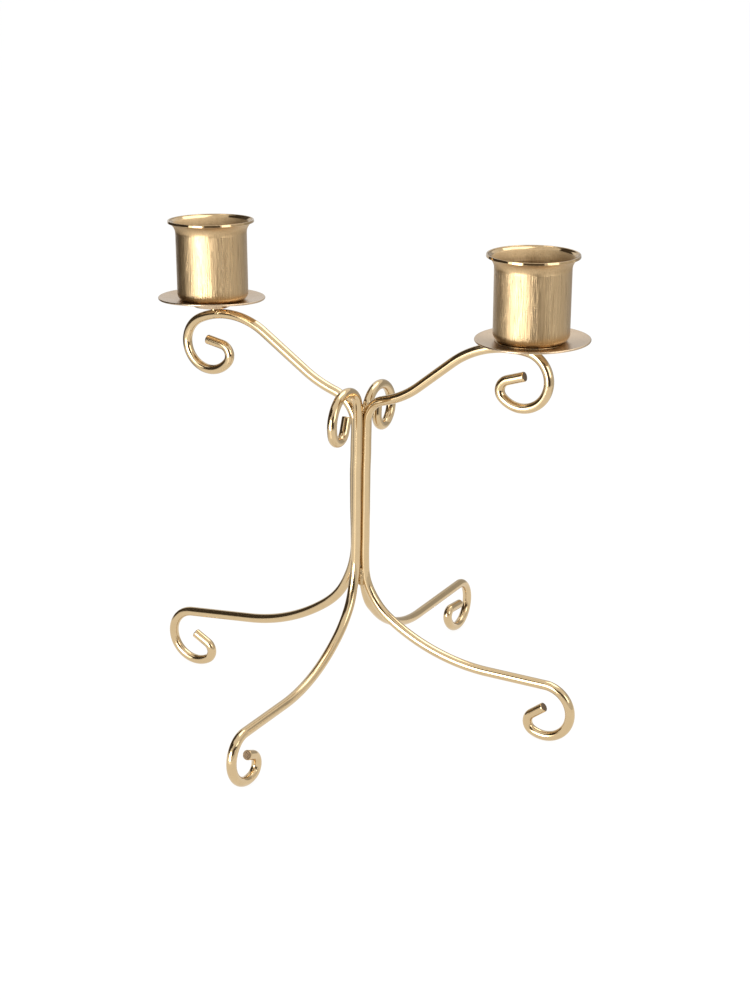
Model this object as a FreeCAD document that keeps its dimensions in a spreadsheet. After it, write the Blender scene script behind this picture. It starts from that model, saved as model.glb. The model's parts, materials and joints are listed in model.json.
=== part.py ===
import FreeCAD, Part
import Sketcher
import math
import os

# Holder for two dinner candles, bent from four round wires that are welded side by side into one stem.
# Z is up, the stem stands on the Z axis and the feet on the plane Z = 0. The two arms reach along X, each
# with a drip pan and a candle cup, and two legs lie below them. The other two legs lie along Y, and each
# of their wires ends in a small curl at the top. Lengths are in millimetres and turns in degrees.
Vector = FreeCAD.Vector
Rotation = FreeCAD.Rotation
UP = Vector(0, 0, 1)

sizes = {
    # Round wire, and how the four lie in the stem.
    "wire_diameter": 3.2,
    "side_gap": 0.4,
    "wire_gap": 0.05,
    "stem_middle": 75.0,
    # Arm, from the top of the stem to the end of the curl under the cup.
    "arm_bend_height": 96.4,
    "arm_crook_radius": 10.9,
    "arm_ramp_radius": 35.5,
    "arm_slope_length": 16.7,
    "arm_crest_radius": 29.0,
    "arm_shoulder_radius": 8.3,
    "arm_curl_radius": 9.1,
    "arm_eye_radius": 3.7,
    "arm_tail_length": 6.2,
    # Small curl at the top of the front and back wires, and how far above the arms each one starts.
    "front_bend_lift": 3.6,
    "back_bend_lift": 2.0,
    "curl_neck_radius": 14.0,
    "curl_crown_radius": 8.2,
    "curl_side_radius": 8.3,
    "curl_eye_radius": 3.6,
    "curl_tail_length": 4.5,
    # Leg under each arm, from the bottom of the stem to the end of the foot's curl.
    "side_hip_radius": 25.0,
    "side_shin_radius": 55.0,
    "side_shank_length": 22.6,
    "side_toe_radius": 8.6,
    "side_heel_radius": 9.1,
    "side_eye_radius": 3.6,
    "side_tail_length": 5.3,
    # Leg of the front and back wires.
    "cross_hip_radius": 29.5,
    "cross_shin_radius": 53.5,
    "cross_shank_length": 23.5,
    "cross_toe_radius": 7.8,
    "cross_heel_radius": 8.2,
    "cross_eye_radius": 2.6,
    "cross_tail_length": 5.2,
    # Candle cup, spun from sheet, for a 22 mm candle.
    "cup_bore": 22.4,
    "cup_sheet": 0.6,
    "cup_height": 26.8,
    "cup_corner_radius": 2.5,
    "flare_radius": 3.6,
    # Drip pan: a flat seat a little wider than the cup's foot, with a shallow boss pressed down in its
    # middle, and a rim dished up round it.
    "pan_diameter": 36.0,
    "pan_sheet": 0.6,
    "seat_margin": 2.2,
    "pan_dish": 0.8,
    "boss_diameter": 13.0,
    "boss_depth": 1.6,
    # Where each cup is welded on its arm: reach from the stem, and filler under the boss.
    "left_reach": 56.8,
    "left_filler": 1.3,
    "right_reach": 59.8,
    "right_filler": 0.2,
    # Weld metal: a short post under each boss, a thin ring round each cup's foot, and a drop in the fork
    # of the four wires above the stem and below it.
    "post_diameter": 3.0,
    "top_drop_diameter": 5.4,
    "top_drop_rise": 7.2,
    "low_drop_diameter": 6.6,
    "low_drop_fall": 8.6,
}

# How far each bend turns, how far each cup leans about X, and how far the braze climbs the foot's corner.
angles = {
    "arm_crook_angle": 73.5,
    "arm_ramp_angle": 20.8,
    "arm_crest_angle": 54.4,
    "arm_shoulder_angle": 39.5,
    "arm_curl_angle": 167.0,
    "arm_eye_angle": 125.0,
    "curl_neck_angle": 15.0,
    "curl_crown_angle": 113.5,
    "curl_side_angle": 94.0,
    "curl_eye_angle": 129.5,
    "side_hip_angle": 43.6,
    "side_shin_angle": 43.8,
    "side_toe_angle": 68.7,
    "side_heel_angle": 135.0,
    "side_eye_angle": 120.0,
    "cross_hip_angle": 45.8,
    "cross_shin_angle": 44.7,
    "cross_toe_angle": 83.2,
    "cross_heel_angle": 159.0,
    "cross_eye_angle": 117.2,
    "flare_angle": 77.0,
    "left_tilt": -1.2,
    "right_tilt": 1.3,
    "braze_angle": 25.0,
}

# Bends in the order that the wire runs, and the way each one turns.
arm_bends = [
    ("arm_crook", "right"),
    ("arm_ramp", "left"),
    ("arm_slope", "straight"),
    ("arm_crest", "right"),
    ("arm_shoulder", "right"),
    ("arm_curl", "right"),
    ("arm_eye", "right"),
    ("arm_tail", "straight"),
]
curl_bends = [
    ("curl_neck", "right"),
    ("curl_crown", "right"),
    ("curl_side", "right"),
    ("curl_eye", "right"),
    ("curl_tail", "straight"),
]


def leg_bends(leg):
    """The bends of the side leg or the cross leg."""
    return [
        (leg + "_hip", "left"),
        (leg + "_shin", "left"),
        (leg + "_shank", "straight"),
        (leg + "_toe", "right"),
        (leg + "_heel", "right"),
        (leg + "_eye", "right"),
        (leg + "_tail", "straight"),
    ]


def follow(bends, start, heading):
    """Each bend's curve in the plane of the wire, with the end that the wire enters it by."""
    curves = []
    point = start
    for name, way in bends:
        angle = math.radians(heading)
        if way == "straight":
            end = point + Vector(math.cos(angle), math.sin(angle)) * sizes[name + "_length"]
            curve = Part.LineSegment(point, end)
        else:
            side = 1 if way == "left" else -1
            radius = sizes[name + "_radius"]
            turn = side * angles[name + "_angle"]
            centre = point + Vector(-math.sin(angle), math.cos(angle)) * side * radius
            first = math.atan2(point.y - centre.y, point.x - centre.x)
            last = first + math.radians(turn)
            curve = Part.ArcOfCircle(Part.Circle(centre, UP, radius), min(first, last), max(first, last))
            end = centre + Vector(math.cos(last), math.sin(last)) * radius
            heading = heading + turn
        curves.append({"name": name, "way": way, "curve": curve})
        point = end
    return curves


# Sizes worked out from the ones above. The feet touch the table, so each leg starts as high as its
# lowest point needs.
wire_radius = sizes["wire_diameter"] / 2
side_offset = wire_radius + sizes["side_gap"] / 2
cross_offset = math.sqrt((sizes["wire_diameter"] + sizes["wire_gap"]) ** 2 - side_offset ** 2)
hip_heights = {}
for leg in ("side", "cross"):
    bottom = min(piece["curve"].toShape().BoundBox.YMin for piece in follow(leg_bends(leg), Vector(), -90))
    hip_heights[leg] = wire_radius - bottom

cup_radius = sizes["cup_bore"] / 2 + sizes["cup_sheet"]
foot_radius = cup_radius - sizes["cup_corner_radius"]
flare_centre = cup_radius + sizes["flare_radius"]
flare_outer = sizes["flare_radius"] + sizes["cup_sheet"]
flare_angle = math.radians(angles["flare_angle"])
flare_height = sizes["cup_height"] - flare_outer * math.sin(flare_angle)
braze_angle = math.radians(angles["braze_angle"])

boss_radius = sizes["boss_diameter"] / 2
boss_inner = (boss_radius ** 2 + sizes["boss_depth"] ** 2) / (2 * sizes["boss_depth"])
boss_outer = boss_inner + sizes["pan_sheet"]
boss_centre = boss_inner - sizes["boss_depth"]
boss_foot = math.sqrt(boss_outer ** 2 - (boss_centre + sizes["pan_sheet"]) ** 2)

# The boss rests on the crest of the arm with the filler between them, and the post stands on the middle
# line of the wire.
crest = follow(arm_bends, Vector(side_offset, sizes["arm_bend_height"]), 90)[3]["curve"]
seats = {}
for side in ("left", "right"):
    apart = crest.Radius + wire_radius + sizes[side + "_filler"] + boss_outer
    along = sizes[side + "_reach"] - crest.Center.x
    across = math.sqrt(apart ** 2 - along ** 2)
    upwards = Vector(along, 0, across).normalize()
    foot = Vector(crest.Center.x, 0, crest.Center.y) + upwards * crest.Radius
    if side == "left":
        upwards.x = -upwards.x
        foot.x = -foot.x
    seats[side] = {
        "upwards": upwards,
        "foot": foot,
        "pivot": foot + upwards * (apart - crest.Radius),
    }

worked_out = {
    "side_offset": side_offset,
    "cross_offset": cross_offset,
    "arm_rise": sizes["arm_bend_height"] - sizes["stem_middle"],
    "front_rise": sizes["arm_bend_height"] + sizes["front_bend_lift"] - sizes["stem_middle"],
    "back_rise": sizes["arm_bend_height"] + sizes["back_bend_lift"] - sizes["stem_middle"],
    "side_drop": sizes["stem_middle"] - hip_heights["side"],
    "cross_drop": sizes["stem_middle"] - hip_heights["cross"],
    "cup_radius": cup_radius,
    "bore_radius": sizes["cup_bore"] / 2,
    "foot_radius": foot_radius,
    "inner_corner_radius": sizes["cup_corner_radius"] - sizes["cup_sheet"],
    "flare_height": flare_height,
    "flare_outer_radius": flare_outer,
    "lip_outer_radius": flare_centre - sizes["flare_radius"] * math.cos(flare_angle),
    "lip_outer_height": flare_height + sizes["flare_radius"] * math.sin(flare_angle),
    "lip_inner_radius": flare_centre - flare_outer * math.cos(flare_angle),
    "braze_radius": foot_radius + sizes["cup_corner_radius"] * math.sin(braze_angle),
    "braze_height": sizes["cup_corner_radius"] * (1 - math.cos(braze_angle)),
    "pan_radius": sizes["pan_diameter"] / 2,
    "pan_seat_radius": foot_radius + sizes["seat_margin"],
    "pan_rim_low": sizes["pan_dish"] - sizes["pan_sheet"],
    "pan_under": -sizes["pan_sheet"],
    "boss_radius": boss_radius,
    "boss_inner_radius": boss_inner,
    "boss_outer_radius": boss_outer,
    "boss_foot_radius": boss_foot,
    "boss_top": -sizes["boss_depth"],
    "boss_under": -sizes["boss_depth"] - sizes["pan_sheet"],
}

doc = FreeCAD.newDocument("CandleHolder")
sheet = doc.addObject("Spreadsheet::Sheet", "Dimensions")
for row, (alias, value) in enumerate({**sizes, **angles, **worked_out}.items(), start=1):
    sheet.set("A" + str(row), alias)
    sheet.set("B" + str(row), str(value))
    sheet.setAlias("B" + str(row), alias)
doc.recompute()


def value_of(alias):
    """A size by its name in the sheet."""
    return sizes[alias] if alias in sizes else worked_out[alias]


def new_body(label):
    body = doc.addObject("PartDesign::Body", label)
    body.Label = label
    return body


def new_sketch(body, name, role):
    """An empty sketch on one of the body's own origin planes."""
    sketch = body.newObject("Sketcher::SketchObject", name)
    plane = [feature for feature in body.Origin.OriginFeatures if feature.Role == role][0]
    sketch.AttachmentSupport = [(plane, "")]
    sketch.MapMode = "FlatFace"
    return sketch


def bind(sketch, name, expression, *constraint):
    """Adds a constraint whose value comes from the sheet."""
    number = sketch.addConstraint(Sketcher.Constraint(*constraint))
    sketch.renameConstraint(number, name)
    sketch.setExpression("Constraints." + name, expression)


def path_sketch(body, name, stem_alias, up, bends):
    """The wire's middle line: straight up or down the stem, then bend after bend, end to end."""
    sketch = new_sketch(body, name, "XZ_Plane")
    length = value_of(stem_alias)
    top = Vector(0, length if up else -length)
    stem = sketch.addGeometry(Part.LineSegment(Vector(), top))
    sketch.addConstraint(Sketcher.Constraint("Coincident", stem, 1, -1, 1))
    sketch.addConstraint(Sketcher.Constraint("Vertical", stem))
    ends = (1, 2) if up else (2, 1)
    bind(sketch, "stem", "Dimensions." + stem_alias, "DistanceY", stem, ends[0], stem, ends[1], length)
    last = (stem, 2)
    for piece in follow(bends, top, 90 if up else -90):
        name = piece["name"]
        number = sketch.addGeometry(piece["curve"])
        entry, leave = (2, 1) if piece["way"] == "right" else (1, 2)
        sketch.addConstraint(Sketcher.Constraint("Tangent", last[0], last[1], number, entry))
        if piece["way"] == "straight":
            bind(sketch, name, "Dimensions." + name + "_length", "Distance", number, sizes[name + "_length"])
        else:
            bind(sketch, name, "Dimensions." + name + "_radius", "Radius", number, sizes[name + "_radius"])
            turn = math.radians(angles[name + "_angle"])
            bind(sketch, name + "_angle", "Dimensions." + name + "_angle * 1 deg", "Angle", number, turn)
        last = (number, leave)
    return sketch


def make_wire(label, rise_alias, top_bends, drop_alias, leg, offset_alias, angle):
    """One wire of the bundle, with its bends in the plane that it turns to by angle."""
    body = new_body(label)
    section = new_sketch(body, label + "_section", "XY_Plane")
    section.addGeometry(Part.Circle(Vector(), UP, wire_radius))
    section.addConstraint(Sketcher.Constraint("Coincident", 0, 3, -1, 1))
    bind(section, "wire", "Dimensions.wire_diameter", "Diameter", 0, sizes["wire_diameter"])
    paths = [
        path_sketch(body, label + "_top_path", rise_alias, True, top_bends),
        path_sketch(body, label + "_leg_path", drop_alias, False, leg_bends(leg)),
    ]
    for path in paths:
        pipe = body.newObject("PartDesign::AdditivePipe", path.Name.replace("path", "pipe"))
        pipe.Profile = section
        pipe.Spine = (path, [""])
    turned = Rotation(UP, angle)
    body.Placement = FreeCAD.Placement(turned.multVec(Vector(value_of(offset_alias), 0, 0)), turned)
    cosine = str(round(math.cos(math.radians(angle))))
    sine = str(round(math.sin(math.radians(angle))))
    body.setExpression("Placement.Base.x", "Dimensions." + offset_alias + " * " + cosine)
    body.setExpression("Placement.Base.y", "Dimensions." + offset_alias + " * " + sine)
    body.setExpression("Placement.Base.z", "Dimensions.stem_middle")
    return body


def turned_body(label, corners):
    """A body turned about its Z axis. Each corner has the names of its radius and height, and of the
    radius and side of the arc that leaves it, if one does."""
    body = new_body(label)
    sketch = new_sketch(body, label + "_section", "XZ_Plane")
    points = []
    for corner in corners:
        across = value_of(corner[0]) if corner[0] else 0
        height = value_of(corner[1]) if corner[1] else 0
        points.append(Vector(across, height))
    ends = []
    for number, corner in enumerate(corners):
        start = points[number]
        end = points[(number + 1) % len(points)]
        if len(corner) == 2:
            sketch.addGeometry(Part.LineSegment(start, end))
            ends.append((1, 2))
            continue
        radius = value_of(corner[2])
        chord = end - start
        inwards = Vector(-chord.y, chord.x) * (1 if corner[3] == "left" else -1)
        height = math.sqrt(radius ** 2 - (chord.Length / 2) ** 2)
        centre = start + chord * 0.5 + inwards.normalize() * height
        first = math.atan2(start.y - centre.y, start.x - centre.x)
        last = math.atan2(end.y - centre.y, end.x - centre.x)
        if corner[3] == "right":
            first, last = last, first
        if last < first:
            last = last + 2 * math.pi
        sketch.addGeometry(Part.ArcOfCircle(Part.Circle(centre, UP, radius), first, last))
        ends.append((1, 2) if corner[3] == "left" else (2, 1))
    for number, corner in enumerate(corners):
        before = number - 1 if number else len(corners) - 1
        start = ends[number][0]
        sketch.addConstraint(Sketcher.Constraint("Coincident", before, ends[before][1], number, start))
        name = "corner_" + str(number)
        if corner[0]:
            expression = "Dimensions." + corner[0]
            bind(sketch, name + "_radius", expression, "DistanceX", number, start, points[number].x)
        else:
            sketch.addConstraint(Sketcher.Constraint("PointOnObject", number, start, -2))
        if corner[1]:
            expression = "Dimensions." + corner[1]
            bind(sketch, name + "_height", expression, "DistanceY", number, start, points[number].y)
        else:
            sketch.addConstraint(Sketcher.Constraint("PointOnObject", number, start, -1))
        if len(corner) > 2:
            bind(sketch, name + "_arc", "Dimensions." + corner[2], "Radius", number, value_of(corner[2]))
    solid = body.newObject("PartDesign::Revolution", label + "_angleed")
    solid.Profile = sketch
    solid.ReferenceAxis = (sketch, ["V_Axis"])
    solid.Angle = 360
    return body


def seat_on_arm(body, side):
    """Puts a body of the cup's own frame on its arm, tilted about the middle of the boss's sphere."""
    turned = Rotation(Vector(1, 0, 0), angles[side + "_tilt"])
    local = Vector(0, 0, boss_centre)
    body.Placement = FreeCAD.Placement(seats[side]["pivot"] - turned.multVec(local), turned)


# The four wires.
left_wire = make_wire("left_arm_wire", "arm_rise", arm_bends, "side_drop", "side", "side_offset", 180)
right_wire = make_wire("right_arm_wire", "arm_rise", arm_bends, "side_drop", "side", "side_offset", 0)
front_wire = make_wire("front_curl_wire", "front_rise", curl_bends, "cross_drop", "cross", "cross_offset", -90)
back_wire = make_wire("back_curl_wire", "back_rise", curl_bends, "cross_drop", "cross", "cross_offset", 90)
wires = {"left": left_wire, "right": right_wire, "front": front_wire, "back": back_wire}

# Each arm's drip pan, the candle cup on its seat, and the braze round the cup's foot.
pan_outline = [
    ("", "boss_top", "boss_inner_radius", "left"),
    ("boss_radius", ""),
    ("pan_seat_radius", ""),
    ("pan_radius", "pan_dish"),
    ("pan_radius", "pan_rim_low"),
    ("pan_seat_radius", "pan_under"),
    ("boss_foot_radius", "pan_under", "boss_outer_radius", "right"),
    ("", "boss_under"),
]
cup_outline = [
    ("", ""),
    ("foot_radius", "", "cup_corner_radius", "left"),
    ("cup_radius", "cup_corner_radius"),
    ("cup_radius", "flare_height", "flare_radius", "right"),
    ("lip_outer_radius", "lip_outer_height"),
    ("lip_inner_radius", "cup_height", "flare_outer_radius", "left"),
    ("bore_radius", "flare_height"),
    ("bore_radius", "cup_corner_radius", "inner_corner_radius", "right"),
    ("foot_radius", "cup_sheet"),
    ("", "cup_sheet"),
]
braze_outline = [
    ("foot_radius", ""),
    ("braze_radius", ""),
    ("braze_radius", "braze_height", "cup_corner_radius", "right"),
]
pans = {}
nodes = list(wires.values())
for side in ("left", "right"):
    pans[side] = turned_body(side + "_drip_pan", pan_outline)
    cup = turned_body(side + "_candle_cup", cup_outline)
    braze = turned_body(side + "_cup_braze", braze_outline)
    for body in (pans[side], cup, braze):
        seat_on_arm(body, side)
        nodes.append(body)


def weld(label, blank, tools):
    """Weld metal: a plain blank less the pieces that it joins."""
    shape = blank
    for number, tool in enumerate(tools, start=1):
        cut = doc.addObject("Part::Cut", label + "_cut_" + str(number))
        cut.Base = shape
        cut.Tool = tool
        shape = cut
    shape.Label = label
    nodes.append(shape)


# The post that carries each pan runs from the middle of the wire into the sheet of the boss.
for side in ("left", "right"):
    post = doc.addObject("Part::Cylinder", side + "_post")
    post.setExpression("Radius", "Dimensions.post_diameter / 2")
    filler = "Dimensions." + side + "_filler"
    post.setExpression("Height", "Dimensions.wire_diameter / 2 + " + filler + " + Dimensions.pan_sheet / 2")
    post.Placement = FreeCAD.Placement(seats[side]["foot"], Rotation(UP, seats[side]["upwards"]))
    weld(side + "_pan_weld", post, [wires[side], pans[side]])

# The drops that tie the four wires, where they part above the stem and below it.
drop_heights = {
    "top": sizes["arm_bend_height"] + sizes["top_drop_rise"],
    "low": hip_heights["side"] - sizes["low_drop_fall"],
}
for level, label in (("top", "top_stem_weld"), ("low", "bottom_stem_weld")):
    drop = doc.addObject("Part::Sphere", level + "_drop")
    drop.setExpression("Radius", "Dimensions." + level + "_drop_diameter / 2")
    drop.Placement.Base = UP * drop_heights[level]
    weld(label, drop, list(wires.values()))

doc.recompute()

# Nothing is written unless the whole document is sound.
for item in doc.Objects:
    if "Invalid" in item.State or "Error" in item.State:
        raise RuntimeError(item.Name + " failed: " + str(item.State))
for node in nodes:
    if node.Shape.isNull() or not node.Shape.isValid() or not node.Shape.Solids:
        raise RuntimeError(node.Label + " has no valid solid")

os.makedirs("parts", exist_ok=True)
for node in nodes:
    node.Shape.exportStep("parts/" + node.Label + ".step")
    box = node.Shape.BoundBox
    print(node.Label, len(node.Shape.Solids), "solids", round(node.Shape.Volume, 1), "mm3",
          [round(number, 1) for number in (box.XMin, box.YMin, box.ZMin, box.XMax, box.YMax, box.ZMax)])
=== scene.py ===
import bpy
import bmesh
import json
import math
from mathutils import Matrix, Vector


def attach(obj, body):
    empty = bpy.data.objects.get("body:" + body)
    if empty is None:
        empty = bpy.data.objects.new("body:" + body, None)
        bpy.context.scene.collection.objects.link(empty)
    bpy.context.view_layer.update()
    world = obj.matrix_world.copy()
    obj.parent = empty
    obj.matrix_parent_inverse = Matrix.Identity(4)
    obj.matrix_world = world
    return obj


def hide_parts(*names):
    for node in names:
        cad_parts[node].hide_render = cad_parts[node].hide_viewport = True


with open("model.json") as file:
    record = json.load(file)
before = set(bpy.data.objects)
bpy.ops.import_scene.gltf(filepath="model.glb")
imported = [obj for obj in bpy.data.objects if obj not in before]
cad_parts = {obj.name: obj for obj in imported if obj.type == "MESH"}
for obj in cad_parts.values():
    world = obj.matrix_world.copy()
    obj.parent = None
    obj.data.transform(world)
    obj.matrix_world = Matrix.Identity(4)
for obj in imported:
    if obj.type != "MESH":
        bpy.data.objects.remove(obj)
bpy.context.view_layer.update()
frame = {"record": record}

mm = 0.001
root = "root"  # the welded holder is one rigid body


# Camera: place, lens and sensor in mm, turn about Z, tilt down and roll in degrees.
shot = {
    "place": (279.47, -494.25, 254.70),
    "turn": 29.017,
    "down": 17.877,
    "roll": -0.065,
    "lens": 65.065,
    "sensor": 36.0,
    "clipEnd": 100,  # metres
}
viewRight = (0.875, 0.485)  # the camera's right along X and Y, the turn's cosine and sine rounded
towardCamera = Vector((viewRight[1], -viewRight[0], 0))


def aimCamera(shot):
    turn, down, roll = (math.radians(shot[name]) for name in ("turn", "down", "roll"))
    forward = Vector((-math.sin(turn) * math.cos(down), math.cos(turn) * math.cos(down), -math.sin(down)))
    across = Vector((math.cos(turn), math.sin(turn), 0))
    upwards = across.cross(forward)
    right = across * math.cos(roll) + upwards * math.sin(roll)
    upwards = upwards * math.cos(roll) - across * math.sin(roll)
    data = bpy.data.cameras.new("camera")
    data.sensor_fit = "VERTICAL"
    data.sensor_height = shot["sensor"]
    data.lens = shot["lens"]
    data.clip_end = shot["clipEnd"]
    camera = bpy.data.objects.new("camera", data)
    bpy.context.scene.collection.objects.link(camera)
    turned = Matrix((right, upwards, -forward)).transposed().to_4x4()
    camera.matrix_world = Matrix.Translation(Vector(shot["place"]) * mm) @ turned
    bpy.context.scene.camera = camera


aimCamera(shot)
print("camera placed")


def hexColour(text):
    # sRGB hex to linear RGBA
    channels = [int(text[place:place + 2], 16) / 255 for place in (0, 2, 4)]
    return tuple(c / 12.92 if c <= 0.04045 else ((c + 0.055) / 1.055) ** 2.4 for c in channels) + (1,)


def addNode(tree, kind, settings=None, inputs=None):
    # a node with its settings, and its sockets filled or linked
    node = tree.nodes.new(kind)
    for name, value in (settings or {}).items():
        setattr(node, name, value)
    for name, value in (inputs or {}).items():
        if isinstance(value, bpy.types.NodeSocket):
            tree.links.new(value, node.inputs[name])
        else:
            node.inputs[name].default_value = value
    return node


def newMaterial(name):
    material = bpy.data.materials.new(name)
    material.use_nodes = True
    material.node_tree.nodes.clear()
    return material, material.node_tree


noiseLow, noiseHigh = 0.3, 0.7  # nearly all of a noise pattern lies between these


# Brass plate on drawn steel wire: a bright satin, a little mottled, with fine lines along the wire from the
# drawing die and small pits where the plate is thin.
brassWire = {
    "plate": "D6BD95",
    "thin": "CAB087",
    "pit": "6B5338",
    "roughness": 0.085,
    "roughnessSpread": 0.05,
    "lineWidth": 0.3,  # mm, a die line, drawn coarse enough to show
    "lineLength": 9.0,
    "lineDetail": 0.5,
    "mottle": 3.0,
    "pitSize": 0.55,
    "pitShare": 0.22,
    "pitFade": 0.06,
    "bump": 0.002,
}


def wireFinish(values):
    material, tree = newMaterial("brassPlatedWire")
    place = addNode(tree, "ShaderNodeAttribute", {"attribute_name": "wirePlace"}).outputs["Vector"]
    objectPlace = addNode(tree, "ShaderNodeTexCoord").outputs["Object"]
    perLine = 1 / (values["lineWidth"] * mm)
    perLength = 1 / (values["lineLength"] * mm)
    stretched = addNode(tree, "ShaderNodeMapping", inputs={"Vector": place, "Scale": (perLine, perLine, perLength)})
    lines = addNode(tree, "ShaderNodeTexNoise", inputs={
        "Vector": stretched.outputs[0], "Scale": 1.0, "Detail": values["lineDetail"], "Roughness": 0.6})
    mottle = addNode(tree, "ShaderNodeTexNoise", inputs={
        "Vector": objectPlace, "Scale": 1 / (values["mottle"] * mm), "Detail": 4.0, "Roughness": 0.6})
    specks = addNode(tree, "ShaderNodeTexNoise", inputs={
        "Vector": objectPlace, "Scale": 1 / (values["pitSize"] * mm), "Detail": 2.0, "Roughness": 0.5})
    pits = addNode(tree, "ShaderNodeMapRange", inputs={
        "Value": specks.outputs[0], "From Min": values["pitShare"],
        "From Max": values["pitShare"] - values["pitFade"]})
    colour = addNode(tree, "ShaderNodeMix", {"data_type": "RGBA"}, {
        0: mottle.outputs[0], 6: hexColour(values["plate"]), 7: hexColour(values["thin"])})
    pitted = addNode(tree, "ShaderNodeMix", {"data_type": "RGBA"}, {
        0: pits.outputs[0], 6: colour.outputs[2], 7: hexColour(values["pit"])})
    roughness = addNode(tree, "ShaderNodeMapRange", inputs={
        "Value": lines.outputs[0], "From Min": noiseLow, "From Max": noiseHigh,
        "To Min": values["roughness"], "To Max": values["roughness"] + values["roughnessSpread"]})
    height = addNode(tree, "ShaderNodeMath", {"operation": "SUBTRACT"}, {0: lines.outputs[0], 1: pits.outputs[0]})
    bump = addNode(tree, "ShaderNodeBump", inputs={
        "Strength": 1.0, "Distance": values["bump"] * mm, "Height": height.outputs[0]})
    metal = addNode(tree, "ShaderNodeBsdfPrincipled", inputs={
        "Base Color": pitted.outputs[2], "Metallic": 1.0, "Roughness": roughness.outputs[0],
        "Normal": bump.outputs[0]})
    addNode(tree, "ShaderNodeOutputMaterial", inputs={"Surface": metal.outputs[0]})
    return material


# Sheared end of the wire, where the plate covers a rough steel face: dull and grey brown.
cutEnd = {
    "colour": "8A745A",
    "deep": "57483A",
    "grain": 0.5,  # mm, a torn grain
    "bump": 0.15,
    "metallic": 0.9,
    "roughness": 0.5,
}


def cutFinish(values):
    material, tree = newMaterial("shearedWireEnd")
    place = addNode(tree, "ShaderNodeTexCoord").outputs["Object"]
    grain = addNode(tree, "ShaderNodeTexNoise", inputs={
        "Vector": place, "Scale": 1 / (values["grain"] * mm), "Detail": 3.0})
    colour = addNode(tree, "ShaderNodeMix", {"data_type": "RGBA"}, {
        0: grain.outputs[0], 6: hexColour(values["deep"]), 7: hexColour(values["colour"])})
    bump = addNode(tree, "ShaderNodeBump", inputs={"Distance": values["bump"] * mm, "Height": grain.outputs[0]})
    metal = addNode(tree, "ShaderNodeBsdfPrincipled", inputs={
        "Base Color": colour.outputs[2], "Metallic": values["metallic"], "Roughness": values["roughness"],
        "Normal": bump.outputs[0]})
    addNode(tree, "ShaderNodeOutputMaterial", inputs={"Surface": metal.outputs[0]})
    return material


# Brass plate on a spun steel cup, brushed upright before plating: fine upright hairlines in tone and gloss.
brassCup = {
    "plate": "CEB58E",
    "streak": "C0A278",
    "hairline": "8B7250",
    "roughness": 0.25,
    "roughnessSpread": 0.08,
    "insideDuller": 0.12,
    "insideFrom": (0.52, 0.56),  # share of the outline, foot to lip to floor, where the inside sets in
    "flareDuller": 0.2,
    "smoothBelow": 0.8,  # mm up the cup: the foot's corner and the flare are left smooth
    "footFade": 2.2,
    "smoothAbove": 22.9,
    "flareFade": 0.8,
    "brushWidth": 0.8,  # mm, a broad stroke of the brush
    "brushLength": 40.0,
    "hairWidth": 0.22,  # mm, a hairline, drawn coarse enough to show
    "hairLength": 12.0,
    "hairRange": (0.45, 0.8),  # from the first trace of a dark hairline to a full one
    "hairShare": 0.8,
    "grit": 0.28,
    "gritShare": 0.6,
    "bump": 0.105,
    "lipFrom": 25.5,  # mm up the cup, where the flat lip is polished
    "lipFade": 0.3,
    "lipGloss": 0.14,  # the lip keeps this share of the roughness
}


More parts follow.
